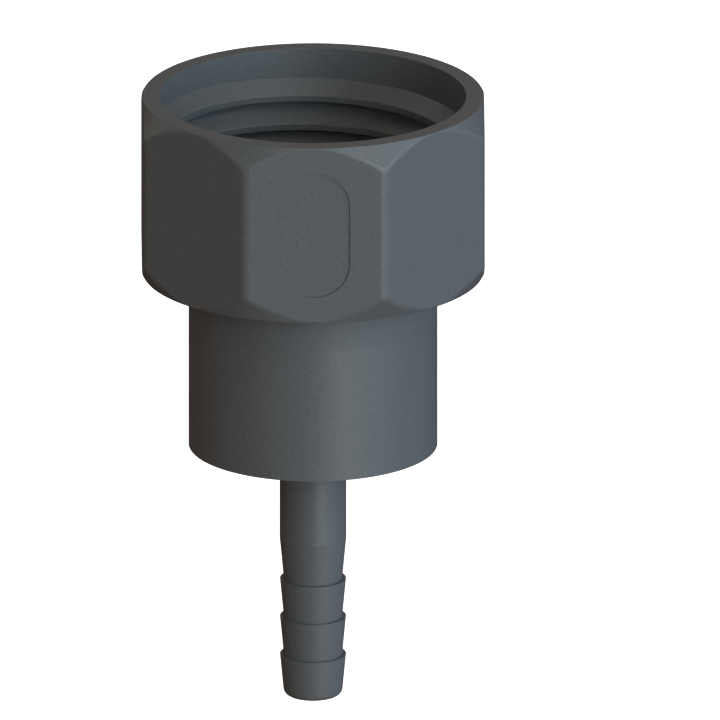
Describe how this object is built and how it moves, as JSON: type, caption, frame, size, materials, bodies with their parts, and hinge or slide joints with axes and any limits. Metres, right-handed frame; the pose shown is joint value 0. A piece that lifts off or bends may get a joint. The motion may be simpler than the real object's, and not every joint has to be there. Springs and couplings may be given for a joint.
{
  "type": "ibc hose tail adapter",
  "caption": "Moulded plastic adapter with an octagonal collar, a coarse internal thread and a washer, narrowing through a round skirt to a barbed hose tail.",
  "frame": {"origin": "centre of the threaded mouth, in the plane of the rim", "axes": "+Z points out of the threaded mouth along the axis; the hose tail points along -Z; -Y faces the flat with the sunk pad"},
  "size_m": [0.0682, 0.0682, 0.1252],
  "materials": {
    "body_plastic": "matte",
    "washer_rubber": "matte"
  },
  "bodies": {
    "root": {"adapter_body": "body_plastic", "sealing_washer": "washer_rubber"}
  },
  "joints": []
}
